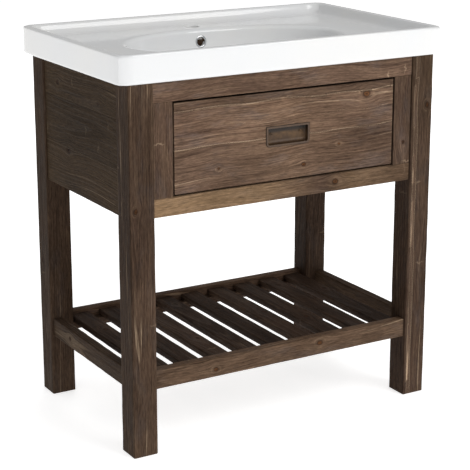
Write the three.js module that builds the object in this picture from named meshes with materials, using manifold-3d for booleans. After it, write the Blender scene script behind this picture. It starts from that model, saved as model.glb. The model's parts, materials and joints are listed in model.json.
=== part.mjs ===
// A washstand: a pine frame with a slatted shelf and one drawer, under a glazed ceramic basin.
// Millimetres, +Z up, +X to the right, the front faces -Y, the origin is on the floor under the middle.
import * as THREE from "three";
import { mergeVertices } from "three/addons/utils/BufferGeometryUtils.js";
import Module from "manifold-3d";

// Overall sizes
const basinWidth = 790;
const basinDepth = 490;
const totalHeight = 850;

// Basin
const rimHeight = 60; // height of the basin's outer faces
const sideOverhang = 20; // basin past the legs at each side
const frontOverhang = 6;
const backOverhang = 14;
const basinCornerRadius = 24;
const basinFoot = 40; // width of the flat foot ring that rests on the frame
const basinEdgeRadius = 4;
const ceramicWall = 12;
const rimTopWidth = 12;
const deckSlopeWidth = 28; // from the rim's top in to the flat deck
const deckDrop = 24; // deck below the rim's top
const bowlWidth = 510;
const bowlLength = 316;
const bowlCentreY = -20;
const bowlDepth = 114; // from the lower end of the bowl's rounded edge to its floor
const bowlEdgeDrop = 9;
const bowlFullness = 2.6; // 2 is an ellipsoid, more is squarer
const tapHoleRadius = 17.5;
const tapHoleFromBack = 63;
const overflowRadius = 12;
const overflowDrop = 29; // overflow's centre below the deck
const drainRadius = 22.5;
const drainSeatRadius = 32;
const drainSeatDepth = 3;

// Frame
const legSize = 56;
const panelRecess = 4; // panels, stiles and upper rails stand this far behind the legs' faces
const panelThickness = 20;
const railThickness = 22;
const cabinetHeight = 278; // from the basin's underside to the side panels' lower edges
const bottomRailHeight = 39;
const topRailHeight = 42;
const stileWidth = 45.5;
const tenonLength = 20;
const tenonThickness = 8;
const tenonShoulder = 6;
const legEdge = 2; // chamfers
const boardEdge = 1.5;

// Shelf
const shelfRailBottom = 142;
const shelfRailHeight = 42;
const shelfRailRecess = 6;
const slatCount = 9;
const slatWidth = 46;
const slatThickness = 15;
const slatEndGap = 3.5; // between a leg and the slat beside it
const slatBelowRail = 7;
const cleatSize = 17;

// Drawer
const drawerGap = 3; // round the drawer's front
const drawerFrontThickness = 20;
const drawerFrontRecess = 1; // behind the stiles' faces
const drawerWall = 12;
const drawerBoxRise = 9; // above the lower rail
const drawerBoxHeight = 90;
const drawerBoxLength = 420; // from the front of the drawer to the back of its box
const drawerBottomThickness = 8;
const drawerBottomRise = 6;
const grooveDepth = 4;
const frontScrewX = 150;
const frontScrewLength = 26;
const recessHalfWidth = 90; // the space left for the trap
const recessDepthY = -83; // front of that space

// Slides
const slideLength = 390;
const slideHeight = 45;
const slideSpace = 12.7; // between the runner board and the drawer's side
const slideSheet = 1.2;
const slideMembers = { outerDepth: 10, middleInset: 2.4, middleDepth: 7.8, innerDepth: 7.5 };
const memberGap = 2.8; // room for the balls between two members
const runnerThickness = 20;
const runnerHeight = 60;

// Pull
const pullWidth = 108;
const pullHeight = 44.5;
const pullBezel = 5;
const pullProud = 2;
const pullDepth = 11; // from the bezel's face to the back of the cup
const pullWall = 1.5;
const pullLip = 3; // finger catch above the opening, behind the bezel
const pullCornerRadius = 8; // lower corners
const pullScrewX = 36;
const pullScrewRise = 4; // above the pull's middle
const pullScrewStop = 1.5; // wood left in front of the screws' points

// Waste
const wasteTubeRadius = 21;
const wasteBoreRadius = 18;
const wasteFlange = 3;
const wasteTailLength = 68; // below the basin's floor
const nutHeight = 10;
const sealThickness = 5;
const plugRadius = 27;
const plugHeight = 7;
const stemRadius = 5;
const plugStemLength = 38;

// Clearances
const glueGap = 0.2; // between two boards that are glued or screwed together
const mortiseGap = 0.3;
const restGap = 0.3; // under a piece that rests on a turned or curved one
const screwGap = 0.3;

const wasm = await Module();
wasm.setup();

// ---- Solids ---------------------------------------------------------------------------------

// A closed geometry as a solid that can be joined and cut.
function solidOf(geometry) {
  const bare = geometry.clone();
  bare.deleteAttribute("normal");
  bare.deleteAttribute("uv");
  const merged = mergeVertices(bare, 1e-4);
  const vertProperties = merged.getAttribute("position").array;
  const triVerts = new Uint32Array(merged.index.array);
  return new wasm.Manifold(new wasm.Mesh({ numProp: 3, vertProperties, triVerts }));
}

function geometryOf(solid) {
  const mesh = solid.getMesh();
  const geometry = new THREE.BufferGeometry();
  geometry.setAttribute("position", new THREE.BufferAttribute(new Float32Array(mesh.vertProperties), 3));
  geometry.setIndex(Array.from(mesh.triVerts));
  geometry.computeVertexNormals();
  return geometry;
}

const joined = (first, ...others) =>
  geometryOf(others.reduce((solid, other) => solid.add(solidOf(other)), solidOf(first)));

const cut = (first, ...others) =>
  geometryOf(others.reduce((solid, other) => solid.subtract(solidOf(other)), solidOf(first)));

// A plain block between two corners.
function block(low, high) {
  const size = high.map((value, i) => value - low[i]);
  const middle = high.map((value, i) => (value + low[i]) / 2);
  return new THREE.BoxGeometry(...size).translate(...middle);
}

// A board between two corners, with its grain along one axis and its four long edges chamfered.
function board(axis, low, high, edge = boardEdge) {
  const [sx, sy, sz] = high.map((value, i) => value - low[i]);
  const middle = high.map((value, i) => (value + low[i]) / 2);
  const [length, width, thickness] = { x: [sx, sz, sy], y: [sy, sx, sz], z: [sz, sx, sy] }[axis];
  const [w, t] = [width / 2, thickness / 2];
  const section = new THREE.Shape();
  section.moveTo(w - edge, -t);
  section.lineTo(w, edge - t);
  section.lineTo(w, t - edge);
  section.lineTo(w - edge, t);
  section.lineTo(edge - w, t);
  section.lineTo(-w, t - edge);
  section.lineTo(-w, edge - t);
  section.lineTo(edge - w, -t);
  section.closePath();
  const geometry = new THREE.ExtrudeGeometry(section, { depth: length, bevelEnabled: false });
  geometry.translate(0, 0, -length / 2);
  if (axis === "x") geometry.rotateY(Math.PI / 2);
  if (axis === "y") geometry.rotateX(-Math.PI / 2);
  return geometry.translate(...middle);
}

// A round piece turned about a vertical line through (x, y): profile points are [radius, z], listed so
// that the material lies to the left of the path, and the path closes itself away from the axis.
function turned(profile, x = 0, y = 0, segments = 32) {
  const onAxis = profile[0][0] === 0;
  const path = onAxis ? profile : [...profile, profile[0]];
  const points = path.map(([radius, z]) => new THREE.Vector2(radius, z));
  return new THREE.LatheGeometry(points, segments).rotateX(Math.PI / 2).translate(x, y, 0);
}

const part = new THREE.Group();

// Adds one named piece, with its own origin at the middle of its box.
function addPiece(name, finish, geometry) {
  geometry.computeBoundingBox();
  const middle = geometry.boundingBox.getCenter(new THREE.Vector3());
  geometry.translate(-middle.x, -middle.y, -middle.z);
  const mesh = new THREE.Mesh(geometry, new THREE.MeshStandardMaterial(finish));
  mesh.name = name;
  mesh.position.copy(middle);
  part.add(mesh);
}

const stainedPine = { color: 0x4b3628, roughness: 0.7, metalness: 0 };
const darkPine = { color: 0x3f2e23, roughness: 0.72, metalness: 0 };
const drawerPine = { color: 0x8a6a48, roughness: 0.65, metalness: 0 };
const ceramic = { color: 0xf2f3f3, roughness: 0.12, metalness: 0 };
const chrome = { color: 0xc9ccd0, roughness: 0.12, metalness: 1 };
const bronze = { color: 0x4a3524, roughness: 0.45, metalness: 0.8 };
const zinc = { color: 0xa9adb0, roughness: 0.38, metalness: 1 };
const rubber = { color: 0x1c1c1c, roughness: 0.85, metalness: 0 };

// Each side's name and sign along X
const sides = [
  ["left", -1],
  ["right", 1],
];

// Corners of a box that is given from the middle outwards, on the side with that sign.
const mirrored = (sign, [innerX, ...low], [outerX, ...high]) =>
  sign > 0 ? [[innerX, ...low], [outerX, ...high]] : [[-outerX, ...low], [-innerX, ...high]];

// ---- Frame ----------------------------------------------------------------------------------

const legHeight = totalHeight - rimHeight;
const legOuterX = basinWidth / 2 - sideOverhang;
const legInnerX = legOuterX - legSize;
const legFrontY = -basinDepth / 2 + frontOverhang;
const legBackY = basinDepth / 2 - backOverhang;
const frontLegBackY = legFrontY + legSize;
const backLegFrontY = legBackY - legSize;
const frameTop = legHeight - glueGap;

const spanX = legInnerX - glueGap; // half the length of a rail between two legs
const spanFrontY = frontLegBackY + glueGap;
const spanBackY = backLegFrontY - glueGap;
const panelFrontY = legFrontY + panelRecess;
const panelBackY = legBackY - panelRecess;
const panelBottom = legHeight - cabinetHeight;
const bottomRailTop = panelBottom + bottomRailHeight;
const topRailBottom = frameTop - topRailHeight;
const shelfRailTop = shelfRailBottom + shelfRailHeight;

// Boards tenoned into the legs: name, grain axis, low corner, high corner
const tenonedBoards = [];
for (const [end, y0, y1] of [
  ["front", panelFrontY, panelFrontY + railThickness],
  ["back", panelBackY - railThickness, panelBackY],
]) {
  tenonedBoards.push([`${end}_top_rail`, "x", [-spanX, y0, topRailBottom], [spanX, y1, frameTop]]);
  tenonedBoards.push([`${end}_bottom_rail`, "x", [-spanX, y0, panelBottom], [spanX, y1, bottomRailTop]]);
}
const shelfFrontY = legFrontY + shelfRailRecess;
const shelfBackY = legBackY - shelfRailRecess;
for (const [end, y0, y1] of [
  ["front", shelfFrontY, shelfFrontY + railThickness],
  ["back", shelfBackY - railThickness, shelfBackY],
]) {
  tenonedBoards.push([`shelf_${end}_rail`, "x", [-spanX, y0, shelfRailBottom], [spanX, y1, shelfRailTop]]);
}
const panelOuterX = legOuterX - panelRecess;
const shelfOuterX = legOuterX - shelfRailRecess;
for (const [side, sign] of sides) {
  tenonedBoards.push([`side_panel_${side}`, "y",
    ...mirrored(sign, [panelOuterX - panelThickness, spanFrontY, panelBottom],
      [panelOuterX, spanBackY, frameTop])]);
  tenonedBoards.push([`shelf_side_rail_${side}`, "y",
    ...mirrored(sign, [shelfOuterX - railThickness, spanFrontY, shelfRailBottom],
      [shelfOuterX, spanBackY, shelfRailTop])]);
}

// The long thin core whose ends are a board's tenons, grown on every side by a clearance.
function tenonCore(axis, low, high, grow) {
  const along = axis === "x" ? 0 : 1;
  const across = 1 - along;
  const middle = (low[across] + high[across]) / 2;
  const coreLow = [...low];
  const coreHigh = [...high];
  coreLow[along] -= tenonLength + grow;
  coreHigh[along] += tenonLength + grow;
  coreLow[across] = middle - tenonThickness / 2 - grow;
  coreHigh[across] = middle + tenonThickness / 2 + grow;
  coreLow[2] += tenonShoulder - grow;
  coreHigh[2] -= tenonShoulder - grow;
  return block(coreLow, coreHigh);
}

for (const [name, axis, low, high] of tenonedBoards) {
  addPiece(name, name.startsWith("side") ? darkPine : stainedPine,
    joined(board(axis, low, high), tenonCore(axis, low, high, 0)));
}

const mortises = tenonedBoards.map(([, axis, low, high]) => tenonCore(axis, low, high, mortiseGap));
for (const [end, y0, y1] of [
  ["front", legFrontY, frontLegBackY],
  ["back", backLegFrontY, legBackY],
]) {
  for (const [side, sign] of sides) {
    const corners = mirrored(sign, [legInnerX, y0, 0], [legOuterX, y1, frameTop]);
    addPiece(`leg_${end}_${side}`, stainedPine, cut(board("z", ...corners, legEdge), ...mortises));
  }
}

// Stiles stand between the upper and lower rails, beside the drawer and at the open back.
const stileInnerX = legInnerX - stileWidth;
for (const [side, sign] of sides) {
  for (const [name, y0, y1] of [
    [`drawer_stile_${side}`, panelFrontY, panelFrontY + railThickness],
    [`back_stile_${side}`, panelBackY - railThickness, panelBackY],
  ]) {
    addPiece(name, stainedPine, board("z", ...mirrored(sign,
      [stileInnerX, y0, bottomRailTop + glueGap],
      [spanX, y1, topRailBottom - glueGap])));
  }
}

// ---- Shelf ----------------------------------------------------------------------------------

const slatTop = shelfRailTop - slatBelowRail;
const slatBottom = slatTop - slatThickness;
const slatFrontY = shelfFrontY + railThickness + glueGap;
const slatBackY = shelfBackY - railThickness - glueGap;
const firstSlatX = -legInnerX + slatEndGap;
const slatPitch = (2 * (legInnerX - slatEndGap) - slatWidth) / (slatCount - 1);
for (let i = 0; i < slatCount; i += 1) {
  const x = firstSlatX + i * slatPitch;
  addPiece(`shelf_slat_${i + 1}`, stainedPine,
    board("y", [x, slatFrontY, slatBottom], [x + slatWidth, slatBackY, slatTop], 2));
}

// Cleats on the inside of the shelf's front and back rails carry the slats' ends.
const cleatHalfLength = legInnerX - glueGap;
const cleatTop = slatBottom - glueGap;
for (const [name, y0] of [
  ["shelf_cleat_front", slatFrontY],
  ["shelf_cleat_back", slatBackY - cleatSize],
]) {
  addPiece(name, stainedPine, board("x", [-cleatHalfLength, y0, cleatTop - cleatSize],
    [cleatHalfLength, y0 + cleatSize, cleatTop]));
}

// ---- Basin ----------------------------------------------------------------------------------

const cornerSteps = 6;
const straightSteps = 3;
const quadrantSteps = cornerSteps + 2 * straightSteps;

// Points round a shape that is part rounded rectangle and part ellipse: morph 0 is the rectangle with
// half sizes a and b and corner radius r, and morph 1 is the ellipse with the same half sizes.
function ring({ a, b, r = 0, morph = 0, y = 0, z }) {
  const points = [];
  for (let i = 0; i < 4 * quadrantSteps; i += 1) {
    const quadrant = Math.floor(i / quadrantSteps);
    const within = i % quadrantSteps;
    const step = quadrant % 2 === 0 ? within : quadrantSteps - within;
    const signX = quadrant === 0 || quadrant === 3 ? 1 : -1;
    const signY = quadrant < 2 ? 1 : -1;
    const ovalAngle = (step / quadrantSteps) * (Math.PI / 2);
    const upSide = Math.min(step / straightSteps, 1);
    const cornerAngle = Math.min(Math.max((step - straightSteps) / cornerSteps, 0), 1) * (Math.PI / 2);
    const alongEnd = Math.max((step - straightSteps - cornerSteps) / straightSteps, 0);
    const boxX = (a - r) * (1 - alongEnd) + r * Math.cos(cornerAngle);
    const boxY = (b - r) * upSide + r * Math.sin(cornerAngle);
    const pointX = boxX + (a * Math.cos(ovalAngle) - boxX) * morph;
    const pointY = boxY + (b * Math.sin(ovalAngle) - boxY) * morph;
    points.push([signX * pointX, y + signY * pointY, z]);
  }
  return points;
}

// A solid whose skin runs through rings of equal length, from the last one back to the first.
function skinThrough(rings) {
  const count = rings[0].length;
  const positions = rings.flat(2);
  const index = [];
  for (let i = 0; i < rings.length; i += 1) {
    const next = (i + 1) % rings.length;
    for (let k = 0; k < count; k += 1) {
      const kNext = (k + 1) % count;
      const [p, q] = [i * count + k, i * count + kNext];
      const [s, t] = [next * count + k, next * count + kNext];
      index.push(p, q, t, p, t, s);
    }
  }
  const geometry = new THREE.BufferGeometry();
  geometry.setAttribute("position", new THREE.Float32BufferAttribute(positions, 3));
  geometry.setIndex(index);
  return geometry;
}

const halfX = basinWidth / 2;
const halfY = basinDepth / 2;
const deckZ = totalHeight - deckDrop;
const bowlStartZ = deckZ - bowlEdgeDrop;
const bowlFloorZ = bowlStartZ - bowlDepth;
const bowlA = bowlWidth / 2;
const bowlB = bowlLength / 2;
const basinUnderside = legHeight;

// A ring parallel to the basin's outline, a distance inside it.
const outline = (inset, z) =>
  ring({ a: halfX - inset, b: halfY - inset, r: Math.max(basinCornerRadius - inset * 0.5, 6), z });

// Points down the side of the bowl: how far in from its edge, as a share of its half size, and how deep.
const bowlSteps = 7;
const bowlSide = [];
for (let i = 0; i <= bowlSteps; i += 1) {
  const angle = (i / bowlSteps) * (Math.PI / 2) * 0.86;
  bowlSide.push([Math.cos(angle) ** (2 / bowlFullness), Math.sin(angle) ** (2 / bowlFullness)]);
}
const bowlRing = (share, depth, wall) => ring({
  a: bowlA * share + wall,
  b: bowlB * share + wall,
  morph: 1,
  y: bowlCentreY,
  z: bowlStartZ - (bowlDepth + wall) * depth,
});
const drainRing = (radius, z) => ring({ a: radius, b: radius, morph: 1, y: bowlCentreY, z });
const bowlEdge = (grow, z) =>
  ring({ a: bowlA + grow, b: bowlB + grow, morph: 1, y: bowlCentreY, z });
const ceramicFloorZ = bowlFloorZ - drainSeatDepth - ceramicWall;

const basinRings = [
  outline(basinFoot, basinUnderside),
  outline(basinEdgeRadius, basinUnderside),
  outline(basinEdgeRadius * 0.3, basinUnderside + basinEdgeRadius * 0.3),
  outline(0, basinUnderside + basinEdgeRadius),
  outline(0, totalHeight - basinEdgeRadius),
  outline(basinEdgeRadius * 0.3, totalHeight - basinEdgeRadius * 0.3),
  outline(basinEdgeRadius, totalHeight),
  outline(rimTopWidth, totalHeight),
  outline(rimTopWidth + 3, totalHeight - 1.5),
  outline(rimTopWidth + 7, totalHeight - 9),
  outline(rimTopWidth + 12, deckZ + 8),
  outline(rimTopWidth + 20, deckZ + 2.5),
  outline(rimTopWidth + deckSlopeWidth, deckZ),
  bowlEdge(9, deckZ - 0.5),
  bowlEdge(3, deckZ - 2.5),
  bowlEdge(0.5, deckZ - 6),
  ...bowlSide.map(([share, depth]) => bowlRing(share, depth, 0)),
  drainRing(drainSeatRadius, bowlFloorZ),
  drainRing(drainSeatRadius - 1, bowlFloorZ - drainSeatDepth),
  drainRing(drainRadius, bowlFloorZ - drainSeatDepth),
  drainRing(drainRadius, ceramicFloorZ),
  drainRing(drainSeatRadius + ceramicWall, ceramicFloorZ),
  ...bowlSide.slice(0, -1).reverse().map(([share, depth]) => bowlRing(share, depth, ceramicWall)),
  bowlEdge(ceramicWall, deckZ - ceramicWall - 2),
  outline(basinFoot, deckZ - ceramicWall),
];

// The overflow opens through the back wall of the bowl, square to it.
const overflowZ = deckZ - overflowDrop;
const overflowDepth = (bowlStartZ - overflowZ) / bowlDepth;
const overflowShare = (1 - overflowDepth ** bowlFullness) ** (1 / bowlFullness);
const overflowY = bowlCentreY + bowlB * overflowShare;
const overflowTilt = Math.atan2(overflowDepth ** (bowlFullness - 1) / bowlDepth,
  overflowShare ** (bowlFullness - 1) / bowlB);
const overflowSeat = 1.2;
const overflowFlange = 2;

// Turns a piece that stands on z = 0 so that it stands on the bowl's back wall at the overflow.
const onBowlWall = (geometry) =>
  geometry.rotateX(Math.PI / 2 - overflowTilt).translate(0, overflowY, overflowZ);

const cylinder = (radius, z0, z1, x = 0, y = 0, segments = 32) =>
  turned([[0, z0], [radius, z0], [radius, z1], [0, z1]], x, y, segments);

const tapHoleY = halfY - tapHoleFromBack;
addPiece("washbasin", ceramic, cut(
  skinThrough(basinRings),
  cylinder(tapHoleRadius, deckZ - 2 * ceramicWall, deckZ + ceramicWall, 0, tapHoleY),
  onBowlWall(cylinder(overflowRadius + overflowFlange, -overflowSeat, ceramicWall)),
  onBowlWall(cylinder(overflowRadius, -3 * ceramicWall, ceramicWall)),
));

const overflowBore = overflowRadius - 2;
const overflowRing = onBowlWall(turned([
  [overflowBore, -ceramicWall * 0.7],
  [overflowRadius - restGap, -ceramicWall * 0.7],
  [overflowRadius - restGap, restGap - overflowSeat],
  [overflowRadius + overflowFlange - restGap, restGap - overflowSeat],
  [overflowRadius + overflowFlange - restGap, 0.6],
  [overflowRadius + overflowFlange - 1, 1.2],
  [overflowBore + 1, 1.2],
  [overflowBore, 0.4],
]));
addPiece("overflow_ring", chrome, overflowRing);

// ---- Waste ----------------------------------------------------------------------------------

const seatZ = bowlFloorZ - drainSeatDepth;
const wasteTailBottom = ceramicFloorZ - wasteTailLength;
const flangeRadius = drainSeatRadius - 1 - 2 * restGap;
const flangeTop = seatZ + restGap + wasteFlange;
addPiece("waste_body", chrome, turned([
  [wasteBoreRadius, wasteTailBottom],
  [wasteTubeRadius, wasteTailBottom],
  [wasteTubeRadius, seatZ + restGap],
  [flangeRadius, seatZ + restGap],
  [flangeRadius, flangeTop - 1],
  [flangeRadius - 1, flangeTop],
  [wasteBoreRadius + 3, flangeTop],
  [wasteBoreRadius, flangeTop - 3],
], 0, bowlCentreY));

const sealTop = ceramicFloorZ - restGap;
const sealBottom = sealTop - sealThickness;
const sealOuter = drainSeatRadius + 4;
addPiece("waste_seal", rubber, turned([
  [wasteTubeRadius + restGap, sealBottom],
  [sealOuter, sealBottom],
  [sealOuter, sealTop],
  [wasteTubeRadius + restGap, sealTop],
], 0, bowlCentreY));

const nutTop = sealBottom - restGap;
const nutOutline = new THREE.Shape();
const nutCorner = sealOuter - 1;
for (let i = 0; i < 6; i += 1) {
  const angle = (i * Math.PI) / 3;
  nutOutline[i === 0 ? "moveTo" : "lineTo"](nutCorner * Math.cos(angle), nutCorner * Math.sin(angle));
}
nutOutline.closePath();
nutOutline.holes.push(new THREE.Path().absarc(0, 0, wasteTubeRadius + restGap, 0, 2 * Math.PI, true));
addPiece("waste_nut", zinc, new THREE.ExtrudeGeometry(nutOutline,
  { depth: nutHeight, bevelEnabled: false, curveSegments: 16 })
  .translate(0, bowlCentreY, nutTop - nutHeight));

// The plug's dome covers the bore, and its stem hangs inside it.
const plugBottom = flangeTop + restGap;
const stemBottom = plugBottom - plugStemLength;
addPiece("waste_plug", chrome, turned([
  [0, stemBottom],
  [stemRadius, stemBottom],
  [stemRadius, plugBottom],
  [plugRadius, plugBottom],
  [plugRadius, plugBottom + 2.5],
  [plugRadius * 0.8, plugBottom + plugHeight * 0.8],
  [0, plugBottom + plugHeight],
], 0, bowlCentreY));

// ---- Drawer ---------------------------------------------------------------------------------

const openingHalf = stileInnerX;
const openingBottom = bottomRailTop;
const openingTop = topRailBottom;
const drawerFrontY = panelFrontY + drawerFrontRecess;
const drawerFrontBackY = drawerFrontY + drawerFrontThickness;
const boxFrontY = drawerFrontBackY + glueGap;
const boxInnerY = boxFrontY + drawerWall;
const boxBackY = drawerFrontY + drawerBoxLength;
const runnerInnerX = openingHalf + glueGap;
const boxOuterX = runnerInnerX - slideSpace;
const boxInnerX = boxOuterX - drawerWall;
const drawerBoxBottom = openingBottom + drawerBoxRise;
const boxTop = drawerBoxBottom + drawerBoxHeight;
const slideCentreZ = drawerBoxBottom + drawerBoxHeight / 2;
const bottomZ = drawerBoxBottom + drawerBottomRise;
const bottomTop = bottomZ + drawerBottomThickness;
const grooveGap = 0.3;

const pullZ = (openingBottom + openingTop) / 2;
const pullTop = pullZ + pullHeight / 2;
const pullBottom = pullZ - pullHeight / 2;
const cavityHalfX = pullWidth / 2 - pullBezel;
const cavityTop = pullTop - pullBezel;
const cavityBottom = pullBottom + pullBezel;
const cupHalfX = cavityHalfX + pullWall;
const cupTop = cavityTop + pullLip + pullWall;
const cupBottom = cavityBottom - pullWall;
const bezelFaceY = drawerFrontY - pullProud;
const cupFloorY = bezelFaceY + pullDepth;
const cupBackY = cupFloorY + pullWall;
const pullScrewZ = pullZ + pullScrewRise;

// A shape drawn in (y, z) and carried along X.
function alongX(points, x0, x1) {
  const shape = new THREE.Shape(points.map(([y, z]) => new THREE.Vector2(y, z)));
  const geometry = new THREE.ExtrudeGeometry(shape, { depth: x1 - x0, bevelEnabled: false });
  const turn = new THREE.Matrix4().makeBasis(
    new THREE.Vector3(0, 1, 0), new THREE.Vector3(0, 0, 1), new THREE.Vector3(1, 0, 0));
  return geometry.applyMatrix4(turn).translate(x0, 0, 0);
}

// A shape drawn in (x, z) and carried along Y.
function alongY(shape, y0, y1) {
  const geometry = new THREE.ExtrudeGeometry(shape, { depth: y1 - y0, bevelEnabled: false, curveSegments: 6 });
  return geometry.rotateX(Math.PI / 2).translate(0, y1, 0);
}

// A screw on the Y axis at (x, z) whose head rests on the plane y, pointing towards `direction`.
function screw({ x, y, z, direction, shaft, head, headHeight, length }) {
  const profile = [
    [0, -length],
    [shaft, -length],
    [shaft, restGap],
    [head, restGap],
    [head, restGap + headHeight * 0.5],
    [head * 0.7, restGap + headHeight],
    [0, restGap + headHeight],
  ];
  return turned(profile, 0, 0, 16).rotateX((direction * Math.PI) / 2).translate(x, y, z);
}

const screwHole = ({ x, y, z, direction, shaft, length }) =>
  cylinder(shaft + screwGap, -length - screwGap, 1, 0, 0, 16)
    .rotateX((direction * Math.PI) / 2).translate(x, y, z);

// Direction 1 puts a screw's head towards the front, and -1 towards the back.
const pullScrews = sides.map(([side, sign]) => ({
  name: `pull_screw_${side}`, x: sign * pullScrewX, y: cupFloorY, z: pullScrewZ, direction: 1,
  shaft: 1.5, head: 3.2, headHeight: 1.8, length: drawerFrontBackY - pullScrewStop - cupFloorY,
}));
const frontScrews = sides.map(([side, sign]) => ({
  name: `drawer_front_screw_${side}`, x: sign * frontScrewX, y: boxInnerY, z: slideCentreZ, direction: -1,
  shaft: 2, head: 4.2, headHeight: 2.6, length: frontScrewLength,
}));
for (const each of pullScrews) addPiece(each.name, bronze, screw(each));
for (const each of frontScrews) addPiece(each.name, zinc, screw(each));

const frontHalfX = openingHalf - drawerGap;
const pocketGap = 0.4;
addPiece("drawer_front", stainedPine, cut(
  board("x", [-frontHalfX, drawerFrontY, openingBottom + drawerGap],
    [frontHalfX, drawerFrontBackY, openingTop - drawerGap]),
  block([-cupHalfX - pocketGap, drawerFrontY - 1, cupBottom - pocketGap],
    [cupHalfX + pocketGap, cupBackY + pocketGap, cupTop + pocketGap]),
  ...pullScrews.map(screwHole),
  ...frontScrews.map(screwHole),
));

// The pull is a bezel with a cup behind it. The cup runs up behind the bezel's top as a finger catch,
// and its floor rises towards the opening's lower edge.
const bezelHalfX = pullWidth / 2;
const bezel = new THREE.Shape();
bezel.moveTo(-bezelHalfX, pullTop);
bezel.lineTo(-bezelHalfX, pullBottom + pullCornerRadius);
bezel.absarc(pullCornerRadius - bezelHalfX, pullBottom + pullCornerRadius, pullCornerRadius,
  Math.PI, 1.5 * Math.PI, false);
bezel.absarc(bezelHalfX - pullCornerRadius, pullBottom + pullCornerRadius, pullCornerRadius,
  1.5 * Math.PI, 2 * Math.PI, false);
bezel.lineTo(bezelHalfX, pullTop);
bezel.closePath();
const bezelBackY = drawerFrontY - glueGap;
const catchY = bezelFaceY + pullProud;
const cavity = alongX([
  [bezelFaceY - 1, cavityBottom],
  [bezelFaceY + 3, cavityBottom],
  [bezelFaceY + 7, cavityBottom + 1.5],
  [cupFloorY, cavityBottom + 7],
  [cupFloorY, cavityTop + pullLip],
  [catchY, cavityTop + pullLip],
  [catchY, cavityTop],
  [bezelFaceY - 1, cavityTop],
], -cavityHalfX, cavityHalfX);
addPiece("drawer_pull", bronze, cut(
  joined(alongY(bezel, bezelFaceY, bezelBackY),
    block([-cupHalfX, bezelBackY - 0.5, cupBottom], [cupHalfX, cupBackY, cupTop])),
  cavity,
  ...pullScrews.map(screwHole),
));

const boxEdge = 1;
addPiece("drawer_box_front", drawerPine, cut(
  board("x", [-boxOuterX, boxFrontY, drawerBoxBottom], [boxOuterX, boxInnerY, boxTop], boxEdge),
  block([-boxInnerX - grooveDepth, boxInnerY - grooveDepth, bottomZ - grooveGap],
    [boxInnerX + grooveDepth, boxInnerY + 1, bottomTop + grooveGap]),
  ...frontScrews.map(screwHole),
));
const standingZ = bottomTop + glueGap;
const recessOuter = recessHalfWidth + drawerWall;
for (const [side, sign] of sides) {
  addPiece(`drawer_side_${side}`, drawerPine, cut(
    board("y", ...mirrored(sign, [boxInnerX, boxInnerY + glueGap, drawerBoxBottom],
      [boxOuterX, boxBackY, boxTop]), boxEdge),
    block(...mirrored(sign, [boxInnerX - 1, boxInnerY - 1, bottomZ - grooveGap],
      [boxInnerX + grooveDepth, boxBackY + 1, bottomTop + grooveGap])),
  ));
  addPiece(`drawer_back_${side}`, drawerPine, board("x", ...mirrored(sign,
    [recessOuter + glueGap, boxBackY - drawerWall, standingZ],
    [boxInnerX - glueGap, boxBackY, boxTop]), boxEdge));
  addPiece(`recess_side_${side}`, drawerPine, board("y", ...mirrored(sign,
    [recessHalfWidth, recessDepthY + glueGap, standingZ],
    [recessOuter, boxBackY, boxTop]), boxEdge));
}
addPiece("recess_front", drawerPine, board("x", [-recessOuter, recessDepthY - drawerWall, standingZ],
  [recessOuter, recessDepthY, boxTop], boxEdge));

const bottomHalfX = boxInnerX + grooveDepth - grooveGap;
const bottomFrontY = boxInnerY - grooveDepth + grooveGap;
const bottomShape = new THREE.Shape([
  [-bottomHalfX, bottomFrontY],
  [bottomHalfX, bottomFrontY],
  [bottomHalfX, boxBackY],
  [recessHalfWidth, boxBackY],
  [recessHalfWidth, recessDepthY],
  [-recessHalfWidth, recessDepthY],
  [-recessHalfWidth, boxBackY],
  [-bottomHalfX, boxBackY],
].map(([x, y]) => new THREE.Vector2(x, y)));
addPiece("drawer_bottom", drawerPine, new THREE.ExtrudeGeometry(bottomShape,
  { depth: drawerBottomThickness, bevelEnabled: false }).translate(0, 0, bottomZ));

// ---- Slides and the boards that carry them --------------------------------------------------

const slideFrontY = boxInnerY - drawerWall / 2;
const slideBackY = slideFrontY + slideLength;

// A channel along Y: its web's back stands at webX and its flanges end at flangeX.
function channel(webX, flangeX, halfHeight) {
  const webFace = webX + Math.sign(flangeX - webX) * slideSheet;
  const flangeFace = halfHeight - slideSheet;
  const shape = new THREE.Shape([
    [webX, -halfHeight],
    [flangeX, -halfHeight],
    [flangeX, -flangeFace],
    [webFace, -flangeFace],
    [webFace, flangeFace],
    [flangeX, flangeFace],
    [flangeX, halfHeight],
    [webX, halfHeight],
  ].map(([x, z]) => new THREE.Vector2(x, z)));
  return alongY(shape, slideFrontY, slideBackY).translate(0, 0, slideCentreZ);
}

const outerHalf = slideHeight / 2;
const middleHalf = outerHalf - slideSheet - memberGap;
const innerHalf = middleHalf - slideSheet - memberGap;
const outerWebX = runnerInnerX - glueGap;
const middleWebX = outerWebX - slideMembers.middleInset;
const innerWebX = boxOuterX + glueGap;
for (const [side, sign] of sides) {
  addPiece(`slide_outer_${side}`, zinc,
    channel(sign * outerWebX, sign * (outerWebX - slideMembers.outerDepth), outerHalf));
  addPiece(`slide_middle_${side}`, zinc,
    channel(sign * middleWebX, sign * (middleWebX - slideMembers.middleDepth), middleHalf));
  addPiece(`slide_inner_${side}`, zinc,
    channel(sign * innerWebX, sign * (innerWebX + slideMembers.innerDepth), innerHalf));
  addPiece(`runner_board_${side}`, drawerPine, board("y", ...mirrored(sign,
    [runnerInnerX, panelFrontY + railThickness + glueGap, slideCentreZ - runnerHeight / 2],
    [runnerInnerX + runnerThickness, panelBackY - railThickness - glueGap,
      slideCentreZ + runnerHeight / 2])));
}

export default part;
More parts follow.
